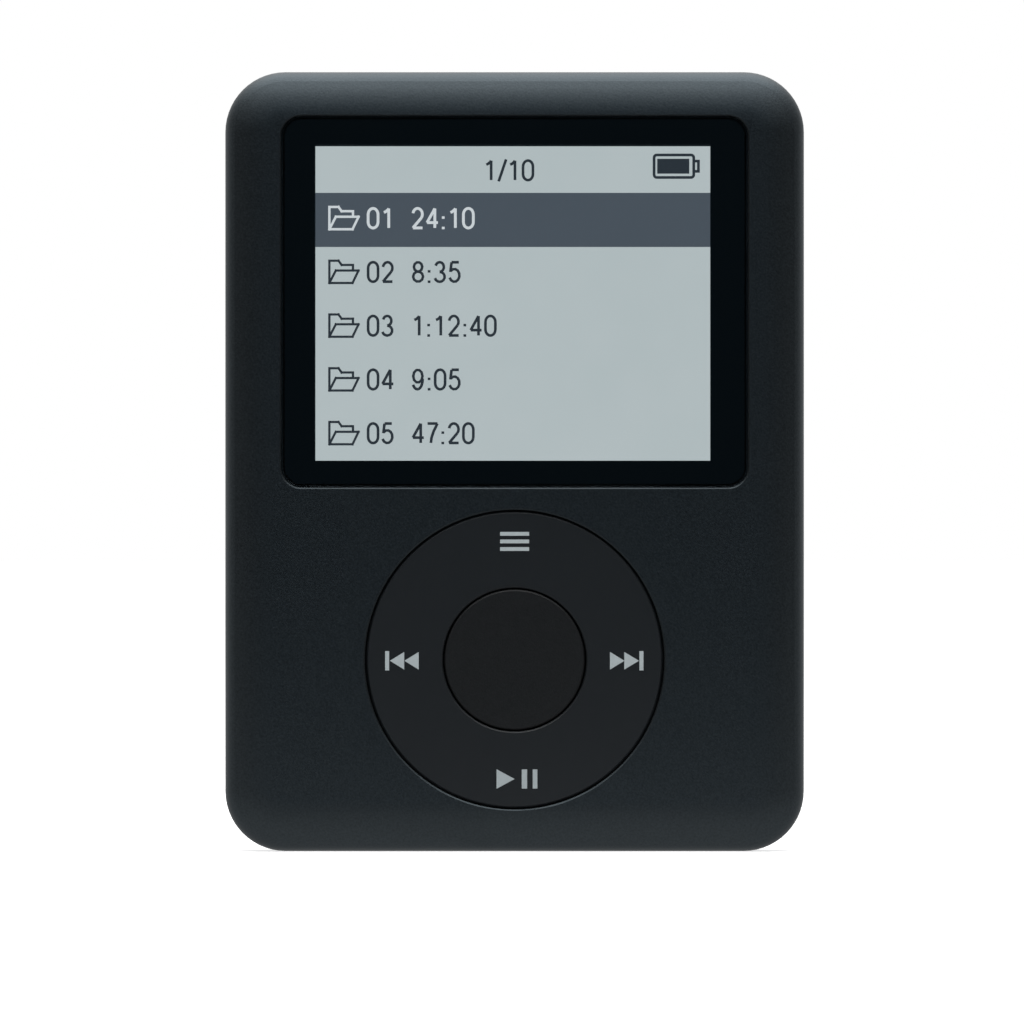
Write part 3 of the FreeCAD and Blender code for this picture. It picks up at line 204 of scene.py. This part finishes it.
def make_finishes():
    """One finish for each material slot of the record."""
    return {
        # Bead blasted and dyed: dry dark metal whose rolled edges catch a soft wide light. The grit is
        # 0.1 mm and is drawn at 0.18 mm to show.
        "housing_aluminium": finish(
            "anodised_aluminium_charcoal", "#34393c", "#4a5155", (0.4, 0.56), 0.18, 0.012,
            patches=(9.0, 0.02), Metallic=1.0),
        # Deep drawn and polished stainless steel: bright, with faint hairlines up the back
        "cover_steel": finish(
            "stainless_steel_polished", "#c3c5c8", "#d3d5d6", (0.14, 0.24), 0.09, 0.0008,
            stretch=(1.0, 1.0, 0.02), patches=(14.0, 0.02), Metallic=1.0),
        # Cast and hard coated: clear, with a moulding ripple too slight to see but in its gloss
        "window_acrylic": finish(
            "acrylic_hard_coated", "#f6f9f9", "#ffffff", (0.0, 0.01), 6.0, 0.0004,
            Transmission_Weight=1.0, IOR=1.49),
        # Screen printed lacquer behind the window: deep blue black with a fine tooth
        "mask_print": finish(
            "lacquer_black_printed", "#04080b", "#070c0f", (0.5, 0.6), 0.2, 0.001, IOR=1.5),
        # Cut foam: dead black, with open cells along its edges
        "gasket_foam": finish(
            "polyurethane_foam_black", "#131313", "#1f1f1f", (0.85, 0.95), 0.25, 0.05, cells=True),
        # Polished glass under its polariser: a dim grey mirror
        "display_glass": finish(
            "liquid_crystal_glass", "#23282a", "#292f31", (0.05, 0.1), 0.22, 0.0, IOR=1.52),
        # Moulded white polycarbonate: milky and even
        "backlight_plastic": finish(
            "polycarbonate_white_moulded", "#dfe1e0", "#eceded", (0.3, 0.4), 0.8, 0.004, IOR=1.58),
        # Laminated film over copper: amber, with the conductors showing as darker lines along it
        "flex_polyimide": finish(
            "polyimide_film_amber", "#8a4e16", "#c07a2c", (0.25, 0.35), 0.35, 0.01,
            stretch=(1.0, 1.0, 0.01), IOR=1.7),
        # Moulded glass filled nylon: black, with the fibres' fine flow marks
        "frame_plastic": finish(
            "nylon_glass_filled_black", "#161617", "#232426", (0.5, 0.65), 0.4, 0.01,
            stretch=(1.0, 1.0, 0.3), IOR=1.53),
        # Zinc plated steel: pale and a little cloudy
        "fastener_steel": finish(
            "zinc_plated_steel", "#a9abac", "#c4c6c8", (0.25, 0.4), 0.2, 0.002, Metallic=1.0),
        # Solder mask on woven glass: glossy green with the weave faintly telegraphed
        "board_laminate": finish(
            "solder_mask_green", "#0c3b22", "#14512f", (0.22, 0.36), 0.5, 0.006, cells=True, IOR=1.55),
        # Transfer moulded epoxy: near black, matt and fine
        "chip_epoxy": finish(
            "epoxy_moulded_black", "#191a1b", "#232425", (0.6, 0.72), 0.12, 0.004, IOR=1.55),
        # Pressed and nickel plated: warm bright metal
        "plated_can": finish(
            "nickel_plated_steel", "#b3aca0", "#cbc5ba", (0.2, 0.32), 0.3, 0.002, Metallic=1.0),
        # Fired ceramic: buff and dense
        "ceramic": finish(
            "ceramic_fired_buff", "#8f7558", "#a98e6e", (0.4, 0.5), 0.12, 0.002, IOR=1.6),
        # Moulded liquid crystal polymer: ivory with flow lines
        "connector_plastic": finish(
            "polymer_ivory_moulded", "#c3bda9", "#d6d1c0", (0.4, 0.5), 0.5, 0.004,
            stretch=(0.2, 1.0, 1.0), IOR=1.6),
        # Pressed aluminium laminate: satin silver with soft dents over the cell
        "cell_foil": finish(
            "aluminium_foil_laminate", "#a4a6a8", "#bdbfc1", (0.3, 0.42), 5.0, 0.05,
            patches=(1.2, 0.04), Metallic=1.0),
        # Double sided film tape: milky and a little stringy
        "adhesive": finish(
            "acrylic_tape_milky", "#d6d4c8", "#e6e5dd", (0.35, 0.5), 0.6, 0.01,
            stretch=(0.2, 1.0, 1.0), IOR=1.47),
        # Extruded vinyl: glossy red with drawing lines along the wire
        "wire_cover": finish(
            "vinyl_red_extruded", "#8f1712", "#a9241d", (0.3, 0.4), 0.1, 0.002,
            stretch=(1.0, 1.0, 0.05), IOR=1.53),
        # Rolled and stamped stainless strip: bright with straight rolling lines
        "spring_steel": finish(
            "stainless_strip_rolled", "#b4b6b8", "#cdcfd0", (0.18, 0.3), 0.06, 0.001,
            stretch=(0.03, 1.0, 1.0), Metallic=1.0),
        # Moulded against a satin tool: even and smoother than the metal round it. The skin's grain of
        # 0.03 mm is drawn at 0.08 mm.
        "wheel_plastic": finish(
            "abs_satin_charcoal", "#0b1014", "#11171c", (0.42, 0.48), 0.08, 0.002,
            patches=(7.0, 0.012), IOR=1.53),
        # Moulded against an etched tool: coarser, so that it stays a tone darker than the wheel
        "button_plastic": finish(
            "abs_etched_charcoal", "#020507", "#070b0f", (0.5, 0.64), 0.2, 0.01,
            patches=(5.0, 0.015), IOR=1.46),
        # Moulded knob: black with a light polish from the thumb
        "knob_plastic": finish(
            "abs_knob_black", "#121416", "#1a1c1e", (0.32, 0.42), 0.15, 0.003, IOR=1.53),
        # Formed and tinned steel: bright with a slight orange peel
        "socket_steel": finish(
            "tin_plated_steel", "#b2b4b4", "#cccdcd", (0.2, 0.3), 0.3, 0.003, Metallic=1.0),
        # Flash gold on copper alloy: rich yellow and smooth
        "contact_gold": finish(
            "gold_plated_copper", "#d9a441", "#ecc062", (0.15, 0.25), 0.1, 0.001, Metallic=1.0),
    }


def screen_light(name, shown):
    """Backlit liquid crystal: an even glow of one tone, under a dull polariser with a faint mottle."""
    return finish(name, "#101314", "#161a1b", (0.35, 0.4), 0.22, 0.0, Emission_Color=colour(shown),
                  Emission_Strength=1.0, Specular_IOR_Level=0.05)


def dress_nodes():
    """Give each carried-over piece the finish of its slot in the record."""
    finishes = make_finishes()
    for part in frame["record"]["subparts"]:
        for slot in frame["nodes"][part["node"]].material_slots:
            slot.material = finishes[part["material_slot"]]


def place(name, data, material, body):
    """Link a piece, dress it and let it ride on a body."""
    item = bpy.data.objects.new(name, data)
    bpy.context.collection.objects.link(item)
    data.materials.clear()
    data.materials.append(material)
    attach(item, body)
    return item


def plate_mesh(name, outlines, back, thickness):
    """Thin closed plates that face the front. Each outline is a list of (x, z) round one shape."""
    mesh = bmesh.new()
    for outline in outlines:
        front = [mesh.verts.new((x, back - thickness, z)) for x, z in outline]
        rear = [mesh.verts.new((x, back, z)) for x, z in outline]
        mesh.faces.new(front)
        mesh.faces.new(reversed(rear))
        for index, corner in enumerate(front):
            following = (index + 1) % len(front)
            mesh.faces.new((front[following], corner, rear[index], rear[following]))
    bmesh.ops.recalc_face_normals(mesh, faces=mesh.faces)
    data = bpy.data.meshes.new(name)
    mesh.to_mesh(data)
    mesh.free()
    return data


def box_outline(left, low, width, height):
    """An upright rectangle."""
    return [(left, low), (left + width, low), (left + width, low + height), (left, low + height)]


def arc(middle_x, middle_z, reach_x, reach_z, start, end):
    """Points on part of an ellipse, from one angle to another in degrees."""
    angles = [radians(start + (end - start) * step / ARC_STEPS) for step in range(ARC_STEPS + 1)]
    return [(middle_x + reach_x * cos(angle), middle_z + reach_z * sin(angle)) for angle in angles]


def rounded_path(left, low, width, height, radius):
    """A closed rounded rectangle."""
    right, top = left + width - radius, low + height - radius
    return (arc(right, low + radius, radius, radius, -90, 0) + arc(right, top, radius, radius, 0, 90)
            + arc(left + radius, top, radius, radius, 90, 180)
            + arc(left + radius, low + radius, radius, radius, 180, 270))


# The strokes of each figure, in figure heights from its lower left corner, and how far it moves on
GLYPHS = {
    "0": ([arc(0.29, 0.67, 0.225, 0.275, 0, 180) + arc(0.29, 0.33, 0.225, 0.275, 180, 360)], 0.66),
    "1": ([[(0.12, 0.76), (0.21, 0.8), (0.3, 0.88), (0.34, 0.94)], [(0.34, 0.94), (0.34, 0.06)]], 0.64),
    "2": ([arc(0.29, 0.68, 0.215, 0.265, 170, -38), [(0.459, 0.517), (0.075, 0.06)],
           [(0.075, 0.06), (0.51, 0.06)]], 0.66),
    "3": ([arc(0.27, 0.725, 0.19, 0.22, 165, -90), arc(0.27, 0.28, 0.225, 0.225, 90, -165)], 0.66),
    "4": ([[(0.41, 0.06), (0.41, 0.94)], [(0.41, 0.94), (0.055, 0.3)], [(0.055, 0.3), (0.55, 0.3)]], 0.66),
    "5": ([[(0.48, 0.94), (0.15, 0.94)], [(0.15, 0.94), (0.095, 0.5)],
           arc(0.275, 0.345, 0.23, 0.29, 138, -160)], 0.66),
    "7": ([[(0.06, 0.94), (0.51, 0.94)], [(0.51, 0.94), (0.34, 0.6), (0.24, 0.3), (0.21, 0.06)]], 0.62),
    "8": ([arc(0.29, 0.73, 0.19, 0.215, 0, 360)[:-1], arc(0.29, 0.29, 0.225, 0.23, 0, 360)[:-1]], 0.66),
    "9": ([arc(0.28, 0.65, 0.21, 0.29, 0, 360)[:-1], arc(0.26, 0.5, 0.235, 0.445, 5, -148)], 0.66),
    ":": ([[(0.13, 0.0), (0.13, 0.115)], [(0.13, 0.47), (0.13, 0.585)]], 0.34),
    "/": ([[(0.04, 0.0), (0.38, 1.0)]], 0.44),
    " ": ([], 0.36),
}
# How many of a figure's strokes, from the first, run round to their own start
CLOSED_STROKES = {"0": 1, "8": 2, "9": 1}


def screen_point(right, down):
    """A place on the screen, measured from the picture's upper left corner."""
    return SCREEN_LEFT + right, SCREEN_TOP - down


def figure_paths(text, right, foot):
    """The strokes of a row of plain figures, as (points, closed), placed on the screen."""
    start, level = screen_point(right, foot)
    paths = []
    for sign in text:
        drawn, advance = GLYPHS[sign]
        for number, points in enumerate(drawn):
            ring = number < CLOSED_STROKES.get(sign, 0)
            placed = [(start + x * FIGURE_HEIGHT, level + z * FIGURE_HEIGHT) for x, z in points]
            paths.append((placed, ring))
        start += advance * FIGURE_HEIGHT
    return paths


def node_group(name, sizes):
    """An empty geometry tree with its geometry sockets, a material input and named size inputs."""
    tree = bpy.data.node_groups.new(name, "GeometryNodeTree")
    face = tree.interface
    face.new_socket("Geometry", in_out="INPUT", socket_type="NodeSocketGeometry")
    face.new_socket("Geometry", in_out="OUTPUT", socket_type="NodeSocketGeometry")
    face.new_socket("Material", in_out="INPUT", socket_type="NodeSocketMaterial")
    for label, kind in sizes.items():
        face.new_socket(label, in_out="INPUT", socket_type=kind)
    return tree, add(tree, "NodeGroupInput").outputs


def close_group(tree, shape, material):
    """End a geometry tree: make its copies real and give them the material."""
    real = add(tree, "GeometryNodeRealizeInstances", {"Geometry": shape})
    dressed = add(tree, "GeometryNodeSetMaterial", {"Geometry": real.outputs[0], "Material": material})
    add(tree, "NodeGroupOutput", {"Geometry": dressed.outputs[0]})
    return tree


def stroke_group():
    """Strokes of one width and thickness along flat paths, turned upright to face the front."""
    tree, given = node_group("drawn_strokes", {"Stroke width": "NodeSocketFloat",
                                               "Stroke thickness": "NodeSocketFloat",
                                               "Depth": "NodeSocketFloat"})
    upright = add(tree, "GeometryNodeSetCurveNormal", {"Curve": given["Geometry"]}, mode="Z_UP")
    nib = add(tree, "GeometryNodeCurvePrimitiveQuadrilateral",
              {"Width": given["Stroke width"], "Height": given["Stroke thickness"]})
    drawn = add(tree, "GeometryNodeCurveToMesh", {"Curve": upright.outputs[0],
                                                  "Profile Curve": nib.outputs[0], "Fill Caps": True})
    depth = add(tree, "ShaderNodeCombineXYZ", {"Y": given["Depth"]})
    turned = add(tree, "GeometryNodeTransform", {"Geometry": drawn.outputs[0],
                                                 "Translation": depth.outputs[0],
                                                 "Rotation": (pi / 2, 0, 0)})
    return close_group(tree, turned.outputs[0], given["Material"])


def row_group():
    """Even copies of a shape along a line."""
    tree, given = node_group("even_copies", {"Count": "NodeSocketInt", "Step": "NodeSocketVector"})
    line = add(tree, "GeometryNodeMeshLine", {"Count": given["Count"], "Start Location": (0, 0, 0),
                                              "Offset": given["Step"]})
    repeated = add(tree, "GeometryNodeInstanceOnPoints", {"Points": line.outputs[0],
                                                          "Instance": given["Geometry"]})
    return close_group(tree, repeated.outputs[0], given["Material"])


def grown(source, tree, values):
    """The plain mesh that a geometry tree makes from a curve or mesh with these input values."""
    holder = bpy.data.objects.new(source.name, source)
    bpy.context.collection.objects.link(holder)
    modifier = holder.modifiers.new(tree.name, "NODES")
    modifier.node_group = tree
    for item in tree.interface.items_tree:
        if item.in_out == "INPUT" and item.name in values:
            modifier[item.identifier] = values[item.name]
    graph = bpy.context.evaluated_depsgraph_get()
    data = bpy.data.meshes.new_from_object(holder.evaluated_get(graph))
    bpy.data.objects.remove(holder)
    mesh = bmesh.new()
    mesh.from_mesh(data)
    bmesh.ops.recalc_face_normals(mesh, faces=mesh.faces)
    mesh.to_mesh(data)
    mesh.free()
    return data


def strokes(name, paths, width, layer, material):
    """Drawn strokes on the screen, from (points, closed) paths of (x, z)."""
    curve = bpy.data.curves.new(name, "CURVE")
    curve.dimensions = "3D"
    for points, closed in paths:
        spline = curve.splines.new("POLY")
        spline.points.add(len(points) - 1)
        for point, (x, z) in zip(spline.points, points):
            point.co = (x, z, 0.0, 1.0)
        spline.use_cyclic_u = closed
    return grown(curve, STROKES, {"Material": material, "Stroke width": width,
                                  "Stroke thickness": LAYER,
                                  "Depth": SCREEN_FACE - LAYER * (layer + 0.5)})


def copies(source, count, step, material):
    """Even copies of a mesh, each one step on from the last."""
    return grown(source, COPIES, {"Material": material, "Count": count, "Step": step})


def lengthened(points, closed=False, width=SIGN_STROKE):
    """Straight strokes between points, each longer by half a stroke at both ends for square joints."""
    ends = list(zip(points, points[1:] + points[:1]))
    paths = []
    for start, end in ends if closed else ends[:-1]:
        start, end = Vector(start), Vector(end)
        along = (end - start).normalized() * width / 2
        paths.append(([tuple(start - along), tuple(end + along)], False))
    return paths


def folder_paths(foot):
    """An open folder: a tabbed back and a slanted front flap."""
    left, low = screen_point(FOLDER_LEFT, foot)
    back, flap = [[(left + x * MM, low + z * MM) for x, z in shape] for shape in (FOLDER_BACK, FOLDER_FLAP)]
    return lengthened(back) + lengthened(flap, closed=True)


def battery_shapes():
    """The outline and the nub of the charge sign as paths, and its full bar as an outline."""
    left, low = screen_point(BATTERY_LEFT, BATTERY_FOOT)
    case = (rounded_path(left, low, BATTERY_WIDTH, BATTERY_HEIGHT, BATTERY_ROUNDING), True)
    nub_left, nub_right = left + BATTERY_WIDTH + NUB_NEAR, left + BATTERY_WIDTH + NUB_FAR
    nub_low, nub_high = low + NUB_INSET, low + BATTERY_HEIGHT - NUB_INSET
    nub = lengthened([(nub_left, nub_low), (nub_right, nub_low), (nub_right, nub_high),
                      (nub_left, nub_high)])
    bar = box_outline(left + CHARGE_LEFT, low + CHARGE_FOOT, CHARGE_WIDTH, CHARGE_HEIGHT)
    return [case, *nub], [bar]


def make_screen():
    """The picture: a status line, a band behind the chosen row, and five rows of folders and figures."""
    body, slot = "player_body", "display_glass"
    dark = screen_light("liquid_crystal_dark", "#282e34")
    open_tone = screen_light("liquid_crystal_open", "#d2d8dc")
    width = SCREEN_WIDTH + SCREEN_LAP
    height = SCREEN_HEIGHT + SCREEN_LAP
    ground = plate_mesh("screen_ground", [box_outline(SCREEN_LEFT, SCREEN_TOP - height, width, height)],
                        SCREEN_FACE, LAYER)
    place("screen_ground", ground, screen_light("liquid_crystal_lit", "#b8c2c4"), body)
    band_low = SCREEN_TOP - STATUS_HEIGHT - BAND_HEIGHT
    band = plate_mesh("screen_band", [box_outline(SCREEN_LEFT, band_low, width, BAND_HEIGHT)],
                      SCREEN_FACE - LAYER, LAYER)
    place("screen_band", band, screen_light("liquid_crystal_band", "#4a525b"), body)

    first, *others = TITLES
    feet = [STATUS_HEIGHT + (row + 1) * ROW_PITCH - ROW_FOOT for row in range(len(TITLES))]
    title = figure_paths(first, TITLE_LEFT, feet[0])
    chosen = strokes("chosen_figures", title, FIGURE_STROKE, 2, open_tone)
    place("chosen_figures", chosen, open_tone, body)
    rows = [path for text, foot in zip(others, feet[1:]) for path in figure_paths(text, TITLE_LEFT, foot)]
    place("row_figures", strokes("row_figures", rows, FIGURE_STROKE, 1, dark), dark, body)
    counter = figure_paths(COUNTER, COUNTER_LEFT, COUNTER_FOOT)
    place("counter_figures", strokes("counter_figures", counter, FIGURE_STROKE, 1, dark), dark, body)

    folder = strokes("chosen_folder", folder_paths(feet[0]), SIGN_STROKE, 2, open_tone)
    place("chosen_folder", folder, open_tone, body)
    folder = strokes("row_folder", folder_paths(feet[1]), SIGN_STROKE, 1, dark)
    place("row_folders", copies(folder, len(others), (0, 0, -ROW_PITCH), dark), dark, body)

    lines, bars = battery_shapes()
    place("battery_sign", strokes("battery_sign", lines, FIGURE_STROKE, 1, dark), dark, body)
    place("battery_bar", plate_mesh("battery_bar", bars, SCREEN_FACE - LAYER, LAYER), dark, body)


def make_marks():
    """The wheel's printed marks: list bars, previous, next, and play with pause."""
    # Pad printed ink: pale grey and matt, with the slight unevenness of a thin coat
    ink = finish("pad_print_ink_grey", "#a5afb2", "#b2bcbf", (0.5, 0.62), 0.3, 0.002)
    back = WHEEL_FACE + LAYER / 2
    outlines = []
    for level, bar_height, triangle_height, bars, triangles in WHEEL_MARKS:
        middle = WHEEL_MIDDLE + level * MM
        low = middle - bar_height * MM / 2
        for across, width in bars:
            outlines.append(box_outline((across - width / 2) * MM, low, width * MM, bar_height * MM))
        half = triangle_height * MM / 2
        for base, tip in triangles:
            outlines.append([(base * MM, middle - half), (tip * MM, middle), (base * MM, middle + half)])
    place("wheel_marks", plate_mesh("wheel_marks", outlines, back, LAYER), ink, "wheel")
    one_bar = box_outline(-LIST_WIDTH / 2, WHEEL_MIDDLE + LIST_LOW, LIST_WIDTH, LIST_HEIGHT)
    bars = copies(plate_mesh("list_bar", [one_bar], back, LAYER), LIST_BARS, (0, 0, LIST_PITCH), ink)
    place("list_bars", bars, ink, "wheel")


def make_studio():
    """Plain soft surroundings, white where they are seen. Gloss meets a dim bluish camera side,
    brighter sides, a pale background behind and a wide soft light above."""
    world = bpy.data.worlds.new("studio")
    bpy.context.scene.world = world
    world.use_nodes = True
    tree = world.node_tree
    tree.nodes.clear()
    path = add(tree, "ShaderNodeLightPath").outputs
    axes = add(tree, "ShaderNodeSeparateXYZ",
               {"Vector": add(tree, "ShaderNodeTexCoord").outputs["Generated"]}).outputs

    def maths(kind, first, second=0.0):
        return add(tree, "ShaderNodeMath", {0: first, 1: second}, operation=kind).outputs[0]

    def ramp(source, start, end, low, high):
        return add(tree, "ShaderNodeMapRange",
                   {"Value": source, "From Min": start, "From Max": end, "To Min": low,
                    "To Max": high}, interpolation_type="SMOOTHSTEP").outputs["Result"]

    through = maths("MULTIPLY", path["Is Transmission Ray"], ramp(axes["Y"], -0.5, 0.0, 0.0, 1.0))
    seen = maths("MAXIMUM", path["Is Camera Ray"], through)
    mirrored = maths("MAXIMUM", path["Is Glossy Ray"], path["Is Transmission Ray"])
    level = maths("ADD", ramp(axes["Y"], -0.85, 0.1, GLOSS_FRONT, GLOSS_SIDE),
                  ramp(axes["Y"], 0.0, 0.8, 0.0, GLOSS_BACK - GLOSS_SIDE))
    overhead = maths("SUBTRACT", axes["Z"], maths("MULTIPLY", maths("ABSOLUTE", axes["X"]), 0.3))
    level = maths("ADD", level, ramp(overhead, 0.1, 0.85, 0.0, GLOSS_ABOVE))
    tint = add(tree, "ShaderNodeMix", {"Factor": ramp(axes["Y"], -1.0, -0.7, 0.0, 1.0),
                                       "A": colour(GLOSS_TINT), "B": WHITE},
               data_type="RGBA")
    shine = add(tree, "ShaderNodeBackground", {"Color": tint.outputs["Result"], "Strength": level})
    ambient = add(tree, "ShaderNodeBackground", {"Color": WHITE, "Strength": AMBIENT})
    paper = add(tree, "ShaderNodeBackground", {"Color": WHITE, "Strength": 1.0})
    lit = add(tree, "ShaderNodeMixShader", {0: mirrored, 1: ambient.outputs[0], 2: shine.outputs[0]})
    both = add(tree, "ShaderNodeMixShader", {0: seen, 1: lit.outputs[0], 2: paper.outputs[0]})
    add(tree, "ShaderNodeOutputWorld", {"Surface": both.outputs[0]})


def make_softbox():
    """One wide soft lamp overhead."""
    light = bpy.data.lights.new("overhead", "AREA")
    light.shape = "RECTANGLE"
    light.size = LAMP_WIDTH
    light.size_y = LAMP_DEPTH
    light.energy = LAMP_POWER
    lamp = bpy.data.objects.new("overhead", light)
    bpy.context.collection.objects.link(lamp)
    lamp.location = (0.0, 0.0, LAMP_HEIGHT)


def make_floor():
    """A pale paper floor. Gloss sees it bright near the player and dim towards the camera's side."""
    paper = bpy.data.materials.new("paper_sweep_white")
    paper.use_nodes = True
    tree = paper.node_tree
    tree.nodes.clear()
    path = add(tree, "ShaderNodeLightPath").outputs
    card = add(tree, "ShaderNodeBsdfDiffuse", {"Color": FLOOR_SHADE})
    glow = add(tree, "ShaderNodeEmission", {"Color": WHITE, "Strength": FLOOR_LIFT})
    lifted = add(tree, "ShaderNodeAddShader", {0: card.outputs[0], 1: glow.outputs[0]})
    axes = add(tree, "ShaderNodeSeparateXYZ",
               {"Vector": add(tree, "ShaderNodeTexCoord").outputs["Object"]}).outputs
    nearness = add(tree, "ShaderNodeMapRange",
                   {"Value": axes["Y"], "From Min": -0.12, "From Max": 0.05, "To Min": FLOOR_FRONT_GLOSS,
                    "To Max": FLOOR_NEAR_GLOSS}, interpolation_type="SMOOTHSTEP")
    mirrored = add(tree, "ShaderNodeEmission", {"Color": WHITE, "Strength": nearness.outputs["Result"]})
    shown = add(tree, "ShaderNodeMixShader", {0: path["Is Camera Ray"], 1: card.outputs[0],
                                              2: lifted.outputs[0]})
    mixed = add(tree, "ShaderNodeMixShader", {0: path["Is Glossy Ray"], 1: shown.outputs[0],
                                              2: mirrored.outputs[0]})
    add(tree, "ShaderNodeOutputMaterial", {"Surface": mixed.outputs[0]})
    data = bpy.data.meshes.new("floor")
    corners = [(across * FLOOR_HALF, along * FLOOR_HALF, 0)
               for across, along in ((-1, -1), (1, -1), (1, 1), (-1, 1))]
    data.from_pydata(corners, [], [(0, 1, 2, 3)])
    data.materials.append(paper)
    floor = bpy.data.objects.new("floor", data)
    bpy.context.collection.objects.link(floor)


def make_camera():
    """The camera of the picture, level and looking straight back."""
    data = bpy.data.cameras.new("camera")
    data.lens = CAMERA_LENS
    data.sensor_width = CAMERA_SENSOR
    camera = bpy.data.objects.new("camera", data)
    bpy.context.collection.objects.link(camera)
    camera.location = CAMERA_PLACE
    camera.rotation_euler = (pi / 2, 0, 0)
    bpy.context.scene.camera = camera


bpy.context.scene.view_settings.view_transform = "Standard"
STROKES = stroke_group()
COPIES = row_group()
dress_nodes()
make_screen()
make_marks()
make_studio()
make_softbox()
make_floor()
make_camera()
